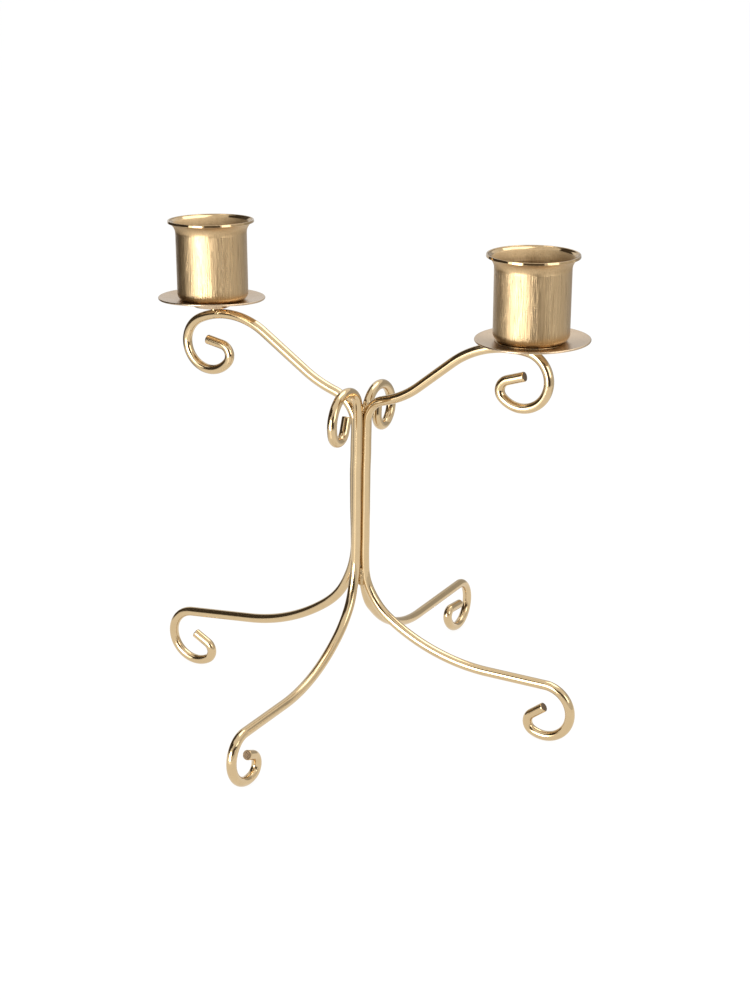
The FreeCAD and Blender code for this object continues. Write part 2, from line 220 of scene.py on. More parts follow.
def cupFinish(values):
    material, tree = newMaterial("brushedBrassCup")
    place = addNode(tree, "ShaderNodeAttribute", {"attribute_name": "turnedPlace"}).outputs["Vector"]

    def brushed(width, length, detail):
        across = 1 / (width * mm)
        mapped = addNode(tree, "ShaderNodeMapping", inputs={
            "Vector": place, "Scale": (across, across, 1 / (length * mm))})
        return addNode(tree, "ShaderNodeTexNoise", inputs={
            "Vector": mapped.outputs[0], "Scale": 1.0, "Detail": detail, "Roughness": 0.65}).outputs[0]

    broad = brushed(values["brushWidth"], values["brushLength"], 4.0)
    fine = brushed(values["hairWidth"], values["hairLength"], 2.0)
    height = addNode(tree, "ShaderNodeSeparateXYZ", inputs={0: place}).outputs[2]
    flareFrom = values["smoothAbove"] - values["flareFade"]
    above = addNode(tree, "ShaderNodeMapRange", inputs={
        "Value": height, "From Min": values["smoothBelow"] * mm,
        "From Max": (values["smoothBelow"] + values["footFade"]) * mm})
    below = addNode(tree, "ShaderNodeMapRange", inputs={
        "Value": height, "From Min": values["smoothAbove"] * mm, "From Max": flareFrom * mm})
    band = addNode(tree, "ShaderNodeMath", {"operation": "MULTIPLY"}, {0: above.outputs[0], 1: below.outputs[0]})
    grit = addNode(tree, "ShaderNodeTexNoise", inputs={
        "Vector": place, "Scale": 1 / (values["grit"] * mm), "Detail": 2.0}).outputs[0]
    rough = addNode(tree, "ShaderNodeMath", {"operation": "MULTIPLY_ADD"}, {0: grit, 1: values["gritShare"], 2: fine})
    brush = addNode(tree, "ShaderNodeMath", {"operation": "MULTIPLY"}, {0: rough.outputs[0], 1: band.outputs[0]})
    hairs = addNode(tree, "ShaderNodeMapRange", inputs={
        "Value": fine, "From Min": values["hairRange"][0], "From Max": values["hairRange"][1],
        "To Max": values["hairShare"]})
    colour = addNode(tree, "ShaderNodeMix", {"data_type": "RGBA"}, {
        0: broad, 6: hexColour(values["plate"]), 7: hexColour(values["streak"])})
    haired = addNode(tree, "ShaderNodeMix", {"data_type": "RGBA"}, {
        0: hairs.outputs[0], 6: colour.outputs[2], 7: hexColour(values["hairline"])})
    roughness = addNode(tree, "ShaderNodeMapRange", inputs={
        "Value": broad, "From Min": noiseLow, "From Max": noiseHigh,
        "To Min": values["roughness"], "To Max": values["roughness"] + values["roughnessSpread"]})
    satin = addNode(tree, "ShaderNodeMapRange", inputs={
        "Value": height, "From Min": (values["lipFrom"] + values["lipFade"]) * mm,
        "From Max": values["lipFrom"] * mm, "To Min": values["lipGloss"]})
    outline = addNode(tree, "ShaderNodeAttribute", {"attribute_name": "outlineShare"}).outputs["Fac"]
    inside = addNode(tree, "ShaderNodeMapRange", inputs={
        "Value": outline, "From Min": values["insideFrom"][0], "From Max": values["insideFrom"][1],
        "To Max": values["insideDuller"]})
    duller = addNode(tree, "ShaderNodeMath", {"operation": "ADD"}, {0: roughness.outputs[0], 1: inside.outputs[0]})
    flared = addNode(tree, "ShaderNodeMapRange", inputs={
        "Value": height, "From Min": flareFrom * mm, "From Max": values["smoothAbove"] * mm,
        "To Max": values["flareDuller"]})
    dulled = addNode(tree, "ShaderNodeMath", {"operation": "ADD"}, {0: duller.outputs[0], 1: flared.outputs[0]})
    gloss = addNode(tree, "ShaderNodeMath", {"operation": "MULTIPLY"}, {0: dulled.outputs[0], 1: satin.outputs[0]})
    bump = addNode(tree, "ShaderNodeBump", inputs={
        "Strength": 1.0, "Distance": values["bump"] * mm, "Height": brush.outputs[0]})
    metal = addNode(tree, "ShaderNodeBsdfPrincipled", inputs={
        "Base Color": haired.outputs[2], "Metallic": 1.0, "Roughness": gloss.outputs[0],
        "Normal": bump.outputs[0]})
    addNode(tree, "ShaderNodeOutputMaterial", inputs={"Surface": metal.outputs[0]})
    return material


# Brass plate on a pressed steel pan: an even satin with tiny dark specks.
brassPan = {
    "plate": "D2BA9C",
    "cloud": "C8AF90",
    "speck": "4E3E2E",
    "roughness": 0.2,
    "roughnessSpread": 0.1,
    "cloudSize": 5.0,
    "speckSize": 0.55,
    "speckShare": 0.24,
    "speckFade": 0.05,
    "bump": 0.02,
    "bumpShare": 0.5,
}


def panFinish(values):
    material, tree = newMaterial("satinBrassPan")
    place = addNode(tree, "ShaderNodeTexCoord").outputs["Object"]
    cloud = addNode(tree, "ShaderNodeTexNoise", inputs={
        "Vector": place, "Scale": 1 / (values["cloudSize"] * mm), "Detail": 4.0})
    grain = addNode(tree, "ShaderNodeTexNoise", inputs={
        "Vector": place, "Scale": 1 / (values["speckSize"] * mm), "Detail": 1.0})
    specks = addNode(tree, "ShaderNodeMapRange", inputs={
        "Value": grain.outputs[0], "From Min": values["speckShare"],
        "From Max": values["speckShare"] - values["speckFade"]})
    colour = addNode(tree, "ShaderNodeMix", {"data_type": "RGBA"}, {
        0: cloud.outputs[0], 6: hexColour(values["plate"]), 7: hexColour(values["cloud"])})
    specked = addNode(tree, "ShaderNodeMix", {"data_type": "RGBA"}, {
        0: specks.outputs[0], 6: colour.outputs[2], 7: hexColour(values["speck"])})
    roughness = addNode(tree, "ShaderNodeMapRange", inputs={
        "Value": cloud.outputs[0], "To Min": values["roughness"],
        "To Max": values["roughness"] + values["roughnessSpread"]})
    bump = addNode(tree, "ShaderNodeBump", inputs={
        "Strength": values["bumpShare"], "Distance": values["bump"] * mm, "Height": grain.outputs[0]})
    metal = addNode(tree, "ShaderNodeBsdfPrincipled", inputs={
        "Base Color": specked.outputs[2], "Metallic": 1.0, "Roughness": roughness.outputs[0],
        "Normal": bump.outputs[0]})
    addNode(tree, "ShaderNodeOutputMaterial", inputs={"Surface": metal.outputs[0]})
    return material


# Weld metal plated with the rest: lumpy and glossy, with painted shade darkening its hollows.
braze = {
    "plate": "D8BD92",
    # painted shade: the darker colour that the hollows between the lumps take
    "hollowShade": "9C8058",
    "lump": 0.7,
    "bump": 0.14,
    "roughness": 0.13,
}


def brazeFinish(values):
    material, tree = newMaterial("platedWeldMetal")
    place = addNode(tree, "ShaderNodeTexCoord").outputs["Object"]
    lumps = addNode(tree, "ShaderNodeTexNoise", inputs={
        "Vector": place, "Scale": 1 / (values["lump"] * mm), "Detail": 3.0})
    # painted shade in the hollows: where the lumps sink, the colour darkens
    colour = addNode(tree, "ShaderNodeMix", {"data_type": "RGBA"}, {
        0: lumps.outputs[0], 6: hexColour(values["hollowShade"]), 7: hexColour(values["plate"])})
    bump = addNode(tree, "ShaderNodeBump", inputs={"Distance": values["bump"] * mm, "Height": lumps.outputs[0]})
    metal = addNode(tree, "ShaderNodeBsdfPrincipled", inputs={
        "Base Color": colour.outputs[2], "Metallic": 1.0, "Roughness": values["roughness"],
        "Normal": bump.outputs[0]})
    addNode(tree, "ShaderNodeOutputMaterial", inputs={"Surface": metal.outputs[0]})
    return material


wireMetal = wireFinish(brassWire)
cutMetal = cutFinish(cutEnd)
cupMetal = cupFinish(brassCup)
panMetal = panFinish(brassPan)
brazeMetal = brazeFinish(braze)
print("finishes made")


# The wires. Each runs from the end of its top curl down the stem to the end of its foot's curl. A bend is
# its radius in mm and its turn in degrees, left turns positive; a straight run is its length and no turn.
# A wire bends in the upright plane that it faces, in degrees from X. That plane leans round the stem by one
# angle above the stem's middle and by another below it. The offset is from the stem's axis, and the top part
# starts at the bend height. The hip's height follows from the leg, whose foot rests on the table.
# The sway is how far a wire stands to the camera's right at each height, in mm: bent by hand, the stem isn't
# quite plumb.
stemSway = ((36, 0), (45, -0.38), (53, -0.45), (61, -0.28), (71, -0.12), (80, 0), (90, 0.3), (98, 0.45), (104, 0.4),
            (113, 0.15))
leftSway = ((36, 0), (45, -0.38), (60, -0.3), (70, -0.45), (80, -0.45), (88, -0.22), (96, 0))
rightSway = (*stemSway[:-2], (103, 0.35), (110, 0))
wireGauge = {
    "radius": 1.6,
    "sides": 72,
    "step": 0.5,  # mm between the points of a bend
    "stemStep": 1.5,
    "softEnd": 0.22,  # mm that the sheared edge is drawn in, to softShare of the radius
    "softShare": 0.9,
    "sharpAngle": 50,
}
leftArmWire = {
    "node": "left_arm_wire", "facing": 180.0, "lean": (0.46, 1.0), "offset": 1.8,
    "sway": leftSway, "bendHeight": 96.47,
    "top": {"crook": (11.74, -71.5), "ramp": (41.57, 16.7), "slope": (19.38, 0), "crest": (25.31, -59.6),
            "shoulder": (9.48, -33.8), "curl": (9.03, -171.9), "eye": (3.63, -117.8), "tail": (6.02, 0)},
    "leg": {"hip": (28.47, 54.3), "shin": (61.13, 30.9), "shank": (24.5, 0), "toe": (8.6, -83.4),
            "heel": (9.45, -120.9), "eye": (3.51, -120.8), "tail": (5.67, 0)},
}
rightArmWire = {
    "node": "right_arm_wire", "facing": 0.0, "lean": (0.0, 0.48), "offset": 1.8,
    "sway": rightSway, "bendHeight": 98.57,
    "top": {"crook": (8.0, -74.9), "rise": (1.97, 0), "ramp": (32.31, 23.0), "slope": (14.85, 0),
            "crest": (32.7, -47.6), "shoulder": (9.2, -54.4), "curl": (9.09, -160.1), "eye": (3.5, -118.9),
            "tail": (6.2, 0)},
    "leg": {"hip": (20.89, 54.6), "shin": (65.72, 34.2), "shank": (20.28, 0), "toe": (9.12, -63.9),
            "heel": (8.76, -143.3), "eye": (3.44, -115.3), "tail": (5.33, 0)},
}
frontCurlWire = {
    "node": "front_curl_wire", "facing": 270.0, "lean": (0.25, 0.45), "offset": 2.706,
    "sway": stemSway, "bendHeight": 102.71,
    "top": {"neck": (17.07, -8.0), "crown": (5.46, -62.3), "side": (9.72, -121.2), "eye": (4.0, -147.4),
            "tail": (4.9, 0)},
    "leg": {"hip": (31.12, 54.8), "shin": (60.17, 34.7), "shank": (23.68, 0), "toe": (7.72, -115.5),
            "heel": (9.14, -80.3), "eye": (3.55, -142.0), "tail": (3.39, 0)},
}
backCurlWire = {
    "node": "back_curl_wire", "facing": 90.0, "lean": (0.08, 0.12), "offset": 2.706,
    "sway": stemSway, "bendHeight": 98.47,
    "top": {"neck": (12.27, -7.4), "crown": (9.3, -96.5), "side": (7.38, -130.3), "eye": (4.31, -131.7),
            "tail": (4.5, 0)},
    "leg": {"hip": (14.5, 46.0), "fall": (3.0, 0), "shin": (45.0, 45.0), "shank": (32.5, 0),
            "toe": (7.56, -89.4), "heel": (8.46, -156.0), "eye": (2.54, -119.4), "tail": (7.2, 0)},
}


def bentLine(bends, start, heading):
    # points of the wire's middle line in its own plane, bend after bend
    points = [Vector(start)]
    angle = math.radians(heading)
    for size, turn in bends.values():
        begin = points[-1]
        if turn == 0:
            steps = max(2, round(size / wireGauge["step"]))
            along = Vector((math.cos(angle), math.sin(angle)))
            points += [begin + along * size * step / steps for step in range(1, steps + 1)]
            continue
        side = 1 if turn > 0 else -1
        sweep = math.radians(turn)
        centre = begin + Vector((-math.sin(angle), math.cos(angle))) * size * side
        first = math.atan2(begin.y - centre.y, begin.x - centre.x)
        steps = max(4, round(abs(sweep) * size / wireGauge["step"]))
        for step in range(1, steps + 1):
            place = first + sweep * step / steps
            points.append(centre + Vector((math.cos(place), math.sin(place))) * size)
        angle += sweep
    return points


def swayAt(sway, height):
    # eased between the heights that it names
    if height <= sway[0][0]:
        return sway[0][1]
    for (low, begun), (high, ended) in zip(sway, sway[1:]):
        if height < high:
            share = (height - low) / (high - low)
            return begun + (ended - begun) * share * share * (3 - 2 * share)
    return sway[-1][1]


def wireLine(wire):
    # the whole middle line in space, in mm
    top = bentLine(wire["top"], (wire["offset"], wire["bendHeight"]), 90)
    leg = bentLine(wire["leg"], (wire["offset"], 0), -90)
    hip = wireGauge["radius"] - min(point.y for point in leg)  # the foot rests on the table
    leg = [Vector((point.x, point.y + hip)) for point in leg]
    stemSteps = round((wire["bendHeight"] - hip) / wireGauge["stemStep"])
    stem = [Vector((wire["offset"], wire["bendHeight"] + (hip - wire["bendHeight"]) * step / stemSteps))
            for step in range(1, stemSteps)]
    facing = math.radians(wire["facing"])
    line = []
    for number, point in enumerate(top[::-1] + stem + leg):
        lean = wire["lean"][0] if number < len(top) + len(stem) / 2 else wire["lean"][1]
        swung = facing + math.radians(lean)  # only what stands clear of the stem leans round it
        away = point.x - wire["offset"]
        sway = swayAt(wire["sway"], point.y)
        line.append(Vector((
            math.cos(facing) * wire["offset"] + math.cos(swung) * away + sway * viewRight[0],
            math.sin(facing) * wire["offset"] + math.sin(swung) * away + sway * viewRight[1], point.y)))
    return line


def wireTree():
    # sweeps a round section along the line, and keeps where each point lies on and along the wire
    tree = bpy.data.node_groups.new("sweptWire", "GeometryNodeTree")
    for name, kind in (("Line", "Geometry"), ("Wire radius", "Float"), ("Sides", "Int"), ("Finish", "Material")):
        tree.interface.new_socket(name, in_out="INPUT", socket_type="NodeSocket" + kind)
    tree.interface.new_socket("Wire", in_out="OUTPUT", socket_type="NodeSocketGeometry")
    given = tree.nodes.new("NodeGroupInput").outputs
    line = addNode(tree, "GeometryNodeMeshToCurve", inputs={"Mesh": given["Line"]})
    taper = addNode(tree, "GeometryNodeInputNamedAttribute", {"data_type": "FLOAT"}, {"Name": "taper"})
    walked = addNode(tree, "GeometryNodeCaptureAttribute")
    walked.capture_items.new("FLOAT", "walked")
    length = addNode(tree, "GeometryNodeSplineParameter").outputs["Length"]
    tree.links.new(line.outputs[0], walked.inputs[0])
    tree.links.new(length, walked.inputs[1])
    section = addNode(tree, "GeometryNodeCurvePrimitiveCircle", {"mode": "RADIUS"}, {
        "Resolution": given["Sides"], "Radius": given["Wire radius"]})
    ringed = addNode(tree, "GeometryNodeCaptureAttribute")
    ringed.capture_items.new("VECTOR", "ringed")
    tree.links.new(section.outputs[0], ringed.inputs[0])
    tree.links.new(addNode(tree, "GeometryNodeInputPosition").outputs[0], ringed.inputs[1])
    swept = addNode(tree, "GeometryNodeCurveToMesh", inputs={
        "Curve": walked.outputs[0], "Profile Curve": ringed.outputs[0], "Scale": taper.outputs["Attribute"],
        "Fill Caps": True})
    parted = addNode(tree, "ShaderNodeSeparateXYZ", inputs={0: ringed.outputs[1]})
    place = addNode(tree, "ShaderNodeCombineXYZ", inputs={
        0: parted.outputs[0], 1: parted.outputs[1], 2: walked.outputs[1]})
    stored = addNode(tree, "GeometryNodeStoreNamedAttribute", {"data_type": "FLOAT_VECTOR", "domain": "POINT"}, {
        "Geometry": swept.outputs[0], "Name": "wirePlace", "Value": place.outputs[0]})
    smooth = addNode(tree, "GeometryNodeSetShadeSmooth", inputs={"Geometry": stored.outputs[0]})
    real = addNode(tree, "GeometryNodeRealizeInstances", inputs={"Geometry": smooth.outputs[0]})
    finished = addNode(tree, "GeometryNodeSetMaterial", inputs={
        "Geometry": real.outputs[0], "Material": given["Finish"]})
    addNode(tree, "NodeGroupOutput", inputs={"Wire": finished.outputs[0]})
    return tree


def newPiece(name, mesh):
    piece = bpy.data.objects.new(name, mesh)
    bpy.context.scene.collection.objects.link(piece)
    return piece


def applied(piece):
    # the piece's modifiers turned into a plain mesh
    graph = bpy.context.evaluated_depsgraph_get()
    mesh = bpy.data.meshes.new_from_object(piece.evaluated_get(graph), preserve_all_data_layers=True,
                                           depsgraph=graph)
    piece.modifiers.clear()
    old = piece.data
    piece.data = mesh
    bpy.data.meshes.remove(old)
    return mesh


def makeWire(wire, tree):
    line = wireLine(wire)
    mesh = bpy.data.meshes.new(wire["node"] + "Line")
    walk = [0.0]
    for before, after in zip(line, line[1:]):
        walk.append(walk[-1] + (after - before).length)
    # an extra point close to each end lets the sheared edge be a little soft
    soft = wireGauge["softEnd"]
    line.insert(1, line[0].lerp(line[1], soft / walk[1]))
    line.insert(-1, line[-1].lerp(line[-2], soft / (walk[-1] - walk[-2])))
    mesh.from_pydata([point * mm for point in line], [(n, n + 1) for n in range(len(line) - 1)], [])
    taper = mesh.attributes.new("taper", "FLOAT", "POINT")
    for number in range(len(line)):
        taper.data[number].value = wireGauge["softShare"] if number in (0, len(line) - 1) else 1.0
    piece = newPiece(wire["node"].replace("_wire", "_bentWire"), mesh)
    sweep = piece.modifiers.new("sweep", "NODES")
    sweep.node_group = tree
    values = {"Wire radius": wireGauge["radius"] * mm, "Sides": wireGauge["sides"], "Finish": wireMetal}
    for socket in tree.interface.items_tree:
        if socket.name in values:
            sweep[socket.identifier] = values[socket.name]
    mesh = applied(piece)
    mesh.materials.clear()
    mesh.materials.append(wireMetal)
    mesh.materials.append(cutMetal)
    for face in mesh.polygons:  # the two end faces have one corner for each side of the wire
        face.material_index = 1 if len(face.vertices) > 4 else 0
    mesh.set_sharp_from_angle(angle=math.radians(wireGauge["sharpAngle"]))
    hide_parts(wire["node"])
    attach(piece, root)


sweptWire = wireTree()
for wire in (leftArmWire, rightArmWire, frontCurlWire, backCurlWire):
    makeWire(wire, sweptWire)
print("four wires bent")


def arc(across, height, radius, first, last, steps):
    # points of an arc of the outline, its angles in degrees
    places = [math.radians(first + (last - first) * step / steps) for step in range(steps + 1)]
    return [(across + radius * math.cos(place), height + radius * math.sin(place)) for place in places]


def turnedPiece(name, outline, sides, seat, closed=False):
    # turns an outline of (radius, height) in mm about its axis, and seats it on its arm
    shape = bmesh.new()
    rings = []
    for across, height in outline:
        if across == 0:
            rings.append([shape.verts.new((0, 0, height * mm))])
            continue
        rings.append([shape.verts.new((across * mm * math.cos(2 * math.pi * side / sides),
                                       across * mm * math.sin(2 * math.pi * side / sides), height * mm))
                      for side in range(sides)])
    pairs = list(zip(rings, rings[1:]))
    if closed:
        pairs.append((rings[-1], rings[0]))
    for low, high in pairs:
        for side in range(sides):
            after = (side + 1) % sides
            corners = [low[side % len(low)], low[after % len(low)], high[after % len(high)], high[side % len(high)]]
            corners = list(dict.fromkeys(corners))  # at a pole two corners are one
            if len(corners) > 2:
                shape.faces.new(corners)
    bmesh.ops.recalc_face_normals(shape, faces=shape.faces)
    ringOfPoint = [number for number, ring in enumerate(rings) for point in ring]
    mesh = bpy.data.meshes.new(name)
    shape.to_mesh(mesh)
    shape.free()
    share = mesh.attributes.new("outlineShare", "FLOAT", "POINT")  # how far along the outline a point lies
    share.data.foreach_set("value", [number / (len(rings) - 1) for number in ringOfPoint])
    upright = mesh.attributes.new("turnedPlace", "FLOAT_VECTOR", "POINT")  # where a point lies before it is seated
    for number, vertex in enumerate(mesh.vertices):
        upright.data[number].vector = vertex.co
    mesh.transform(seat)
    mesh.shade_smooth()
    return newPiece(name, mesh)


# Candle cup, a spun sheet, in mm and degrees.
cup = {
    "bore": 22.4,
    "sheet": 0.6,
    "height": 26.8,
    "corner": 2.5,
    "flare": 4.0,
    "flareTurn": 77.0,
    "lip": (0.3, 0.44),  # half sizes of the lip, a flat polished land with round corners
    "lipBack": 12.2,  # the flare ends this much short of its turn, where the lip sits
    "lipTilt": 8.0,
    "lipCorner": 0.35,  # 1 makes the lip an oval, and less makes it squarer
    "socketMiddle": 12.604,  # from the foot up to the middle of the candle socket
    "sides": 192,
    "cornerSteps": 14,
    "wallSteps": 12,
    "flareSteps": 20,
    "lipSteps": 40,
    "insideCornerSteps": 12,
}
# Drip pan, a pressed sheet, in mm.
pan = {
    "across": 35.7,
    "sheet": 0.6,
    "seat": 11.5,
    "seatFlat": 0.8,  # a flat ring just inside the seat's edge
    "crease": 0.02,  # how far that edge stands up
    "dish": 0.8,
    "boss": 14.4,
    "bossDepth": 1.9,
    "bossCorner": 1.3,
    "bossSpread": 0.2,  # the hollow of the boss is this much wider than its underside
    "edge": 0.32,
    "raisedFrom": 0.3,  # share of the way to the rim where a bent front begins
    "sides": 192,
    "bossSteps": 6,
    "dishSteps": 8,
    "edgeSteps": 10,
}
# Braze round the foot of the cup: how far up the foot's corner it creeps in degrees, how far it spreads in mm,
# and where its hollow face lies between the two, as shares.
ring = {"turn": 25.0, "spread": 0.8, "hollow": (0.45, 0.42), "steps": 6}


def seatOf(side):
    # where the cup's foot stands and how it leans, from the candle socket's mount
    mount = next(mount for mount in frame["record"]["mounts"] if mount["name"] == side + "_candle_socket")
    axis = Vector(mount["axis"]).normalized()
    origin = Vector(mount["pos_m"]) - axis * cup["socketMiddle"] * mm
    return Matrix.Translation(origin) @ Vector((0, 0, 1)).rotation_difference(axis).to_matrix().to_4x4()


def cupOutline(values):
    # up the outside from the middle of the foot, round the lip, and down the inside
    inner = values["bore"] / 2
    outer = inner + values["sheet"]
    foot = outer - values["corner"]
    wide = values["flare"] + values["sheet"]
    centre = outer + values["flare"]
    rise = values["height"] - wide * math.sin(math.radians(values["flareTurn"]))
    turn = 180 - values["flareTurn"] + values["lipBack"]
    lip = math.radians(turn)
    middle = values["flare"] + values["sheet"] / 2
    deep, tall = values["lip"]
    corner = values["lipCorner"]
    buried = math.pi - math.asin((values["sheet"] / 2 / tall) ** (1 / corner))
    short = math.degrees(deep / middle)
    tilt = math.radians(values["lipTilt"])
    tip = Vector((math.cos(tilt), math.sin(tilt)))
    side = Vector((math.sin(tilt), -math.cos(tilt)))
    end = Vector((centre + middle * math.cos(lip), rise + middle * math.sin(lip)))

    def lipPoint(place):
        along, across = math.cos(place), math.sin(place)
        point = (end + tip * deep * math.copysign(abs(along) ** corner, along)
                 + side * tall * math.copysign(abs(across) ** corner, across))
        return point.x, point.y

    wall, flared, lipped = values["wallSteps"], values["flareSteps"], values["lipSteps"]
    low = values["corner"]
    points = [(0, 0), (foot * 0.5, 0)]
    points += arc(foot, low, low, -90, 0, values["cornerSteps"])
    points += [(outer, low + (rise - low) * step / wall) for step in range(1, wall)]
    points += arc(centre, rise, values["flare"], 180, turn + short, flared)[:-1]
    points += [lipPoint(buried * (1 - 2 * step / lipped)) for step in range(lipped + 1)]
    points += arc(centre, rise, wide, turn + short, 180, flared)[1:]
    points += [(inner, rise + (low - rise) * step / wall) for step in range(1, wall)]
    points += arc(foot, low, low - values["sheet"], 0, -90, values["insideCornerSteps"])
    return points + [(foot * 0.5, values["sheet"]), (0, values["sheet"])]


def panOutline(values):
    # out over the top from the boss to the rim, round the edge, and back underneath
    half = values["across"] / 2
    sheet, deep, corner, edge = (values[name] for name in ("sheet", "bossDepth", "bossCorner", "edge"))
    flat = values["boss"] / 2 - corner
    seat, marked = values["seat"], values["seat"] - values["seatFlat"]
    slope = math.degrees(math.atan2(values["dish"], half - seat))
    eased, dished = values["bossSteps"], values["dishSteps"]

    def sunk(step):
        return deep * (0.5 + 0.5 * math.cos(math.pi * step / eased))

    def dishPoint(step, below):
        return seat + (half - edge - seat) * step / dished, below + values["dish"] * step / dished

    points = [(0, -deep), (flat * 0.5, -deep), (flat - sheet, -deep)]
    points += [(flat - sheet + (corner + values["bossSpread"]) * step / eased, -sunk(step))
               for step in range(1, eased + 1)]
    points += [(marked, 0), (seat, values["crease"])]
    points += [dishPoint(step, 0) for step in range(1, dished)]
    points += arc(half - edge, values["dish"] - edge, edge, 90 + slope, -90 + slope, values["edgeSteps"])
    points += [dishPoint(step, -sheet) for step in range(dished - 1, 0, -1)]
    points += [(seat, -sheet), (marked, -sheet)]
    points += [(flat + corner * step / eased, -sheet - sunk(step)) for step in range(eased, -1, -1)]
    return points + [(flat * 0.5, -sheet - deep), (0, -sheet - deep)]


def ringOutline(values):
    foot = cup["bore"] / 2 + cup["sheet"] - cup["corner"]
    turn = math.radians(values["turn"])
    rise = cup["corner"] * (1 - math.cos(turn))
    across = foot + cup["corner"] * math.sin(turn)
    hollow = (across + values["spread"] * values["hollow"][0], rise * values["hollow"][1])
    points = arc(foot, cup["corner"], cup["corner"], -90, -90 + values["turn"], values["steps"])
    return points + [hollow, (across + values["spread"], 0)]


# How cup and pan sit on this holder: shifts in mm, the cup's lean in degrees, the pan's raised front in mm.
settled = {
    "left": {"cup": (0.55, 0, -0.3), "lean": -0.8, "pan": (0.05, 0, -0.1), "raised": 0.5},
    "right": {"cup": (-0.2, 0, -0.15), "lean": 0.8, "pan": (0.3, 0, -0.2), "raised": 0.0},
}


def raiseFront(piece, seat, raised):
    # the pan's edge on the camera's side is bent up a little
    for vertex in piece.data.vertices:
        share = (vertex.co - seat.translation).dot(towardCamera) / (pan["across"] / 2 * mm)
        if share > pan["raisedFrom"]:
            vertex.co.z += raised * mm * ((share - pan["raisedFrom"]) / (1 - pan["raisedFrom"])) ** 2


for side in ("left", "right"):
    way = settled[side]
    cupShift, panShift = (Matrix.Translation(Vector(way[name]) * mm) for name in ("cup", "pan"))
    panSeat = panShift @ seatOf(side)
    seat = cupShift @ seatOf(side)
    leaned = Matrix.Rotation(math.radians(way["lean"]), 4, -towardCamera)
    seat = Matrix.Translation(seat.translation) @ leaned @ Matrix.Translation(-seat.translation) @ seat
    candleCup = turnedPiece(side + "_candleCup", cupOutline(cup), cup["sides"], seat)
    candleCup.data.materials.append(cupMetal)
    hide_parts(side + "_candle_cup")
    dripPan = turnedPiece(side + "_dripPan", panOutline(pan), pan["sides"], panSeat)
    raiseFront(dripPan, panSeat, way["raised"])
    dripPan.data.materials.append(panMetal)
    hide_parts(side + "_drip_pan")
    footRing = turnedPiece(side + "_footBraze", ringOutline(ring), cup["sides"], seat, closed=True)
    footRing.data.materials.append(brazeMetal)
    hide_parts(side + "_cup_braze")
    for piece in (candleCup, dripPan, footRing):
        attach(piece, root)
print("cups and pans turned")


# Weld metal: drops of (x, y, z, radius) in mm that run together. Under the pans they lie on the arm.
leftPanBead = {"node": "left_pan_weld", "drops": [
    (-55.9, 0.0, 129.9, 1.35), (-54.6, -0.4, 129.6, 1.2), (-53.9, -1.6, 129.6, 0.55), (-53.2, -1.75, 129.5, 0.5),
    (-52.6, -1.6, 129.5, 0.45), (-53.5, -1.3, 130.0, 0.5), (-52.9, -1.2, 129.9, 0.45), (-53.4, -2.0, 129.1, 0.38),
    (-54.4, -1.3, 129.9, 0.42), (-54.5, -1.9, 129.1, 0.35)]}
rightPanBead = {"node": "right_pan_weld", "drops": [
    (57.2, 0.0, 129.2, 1.2), (58.0, -0.8, 129.4, 0.7), (56.4, -0.7, 129.5, 0.7), (57.2, 0.9, 129.3, 0.8)]}
topStemBead = {"node": "top_stem_weld", "drops": [
    (0.35, 0.2, 102.4, 2.0), (2.0, -1.5, 103.7, 0.55), (2.2, -1.7, 104.5, 0.5), (2.4, -1.7, 105.5, 0.5),
    (1.6, -1.1, 102.9, 0.7), (1.9, 1.7, 102.6, 0.7), (-1.2, 1.7, 102.6, 0.7), (-1.2, -1.4, 102.4, 0.7)]}
bottomStemBead = {"node": "bottom_stem_weld", "drops": [
    (-0.35, -0.2, 47.0, 2.1), (-0.35, -0.2, 45.2, 1.9), (0.95, -2.1, 48.1, 0.45), (1.4, -2.2, 46.1, 0.36),
    (0.65, -1.4, 47.3, 1.2), (0.7, -1.45, 46.5, 1.3), (0.72, -1.45, 45.7, 1.32), (0.75, -1.45, 44.9, 1.34),
    (0.78, -1.45, 44.1, 1.3), (0.8, -1.45, 43.3, 1.2),
    (0.9, 1.6, 46.6, 1.2), (-1.6, 1.6, 46.6, 1.1), (-1.6, -1.8, 46.8, 1.0), (-1.6, -1.8, 45.4, 1.0)]}
beadGrain = {"ballRounds": 3, "voxel": 0.12, "easing": 0.5, "easingRounds": 2}


def makeBead(bead):
    shape = bmesh.new()
    for x, y, z, radius in bead["drops"]:
        bmesh.ops.create_icosphere(shape, subdivisions=beadGrain["ballRounds"], radius=radius * mm,
                                   matrix=Matrix.Translation(Vector((x, y, z)) * mm))
    mesh = bpy.data.meshes.new(bead["node"])
    shape.to_mesh(mesh)
    shape.free()
    piece = newPiece(bead["node"].replace("_weld", "_beadOfWeld"), mesh)
    joined = piece.modifiers.new("joined", "REMESH")
    joined.mode = "VOXEL"
    joined.voxel_size = beadGrain["voxel"] * mm
    eased = piece.modifiers.new("eased", "SMOOTH")
    eased.factor = beadGrain["easing"]
    eased.iterations = beadGrain["easingRounds"]
    mesh = applied(piece)
    mesh.materials.clear()
    mesh.materials.append(brazeMetal)
    mesh.shade_smooth()
    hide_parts(bead["node"])
    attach(piece, root)


for bead in (leftPanBead, rightPanBead, topStemBead, bottomStemBead):
    makeBead(bead)
print("weld beads laid")


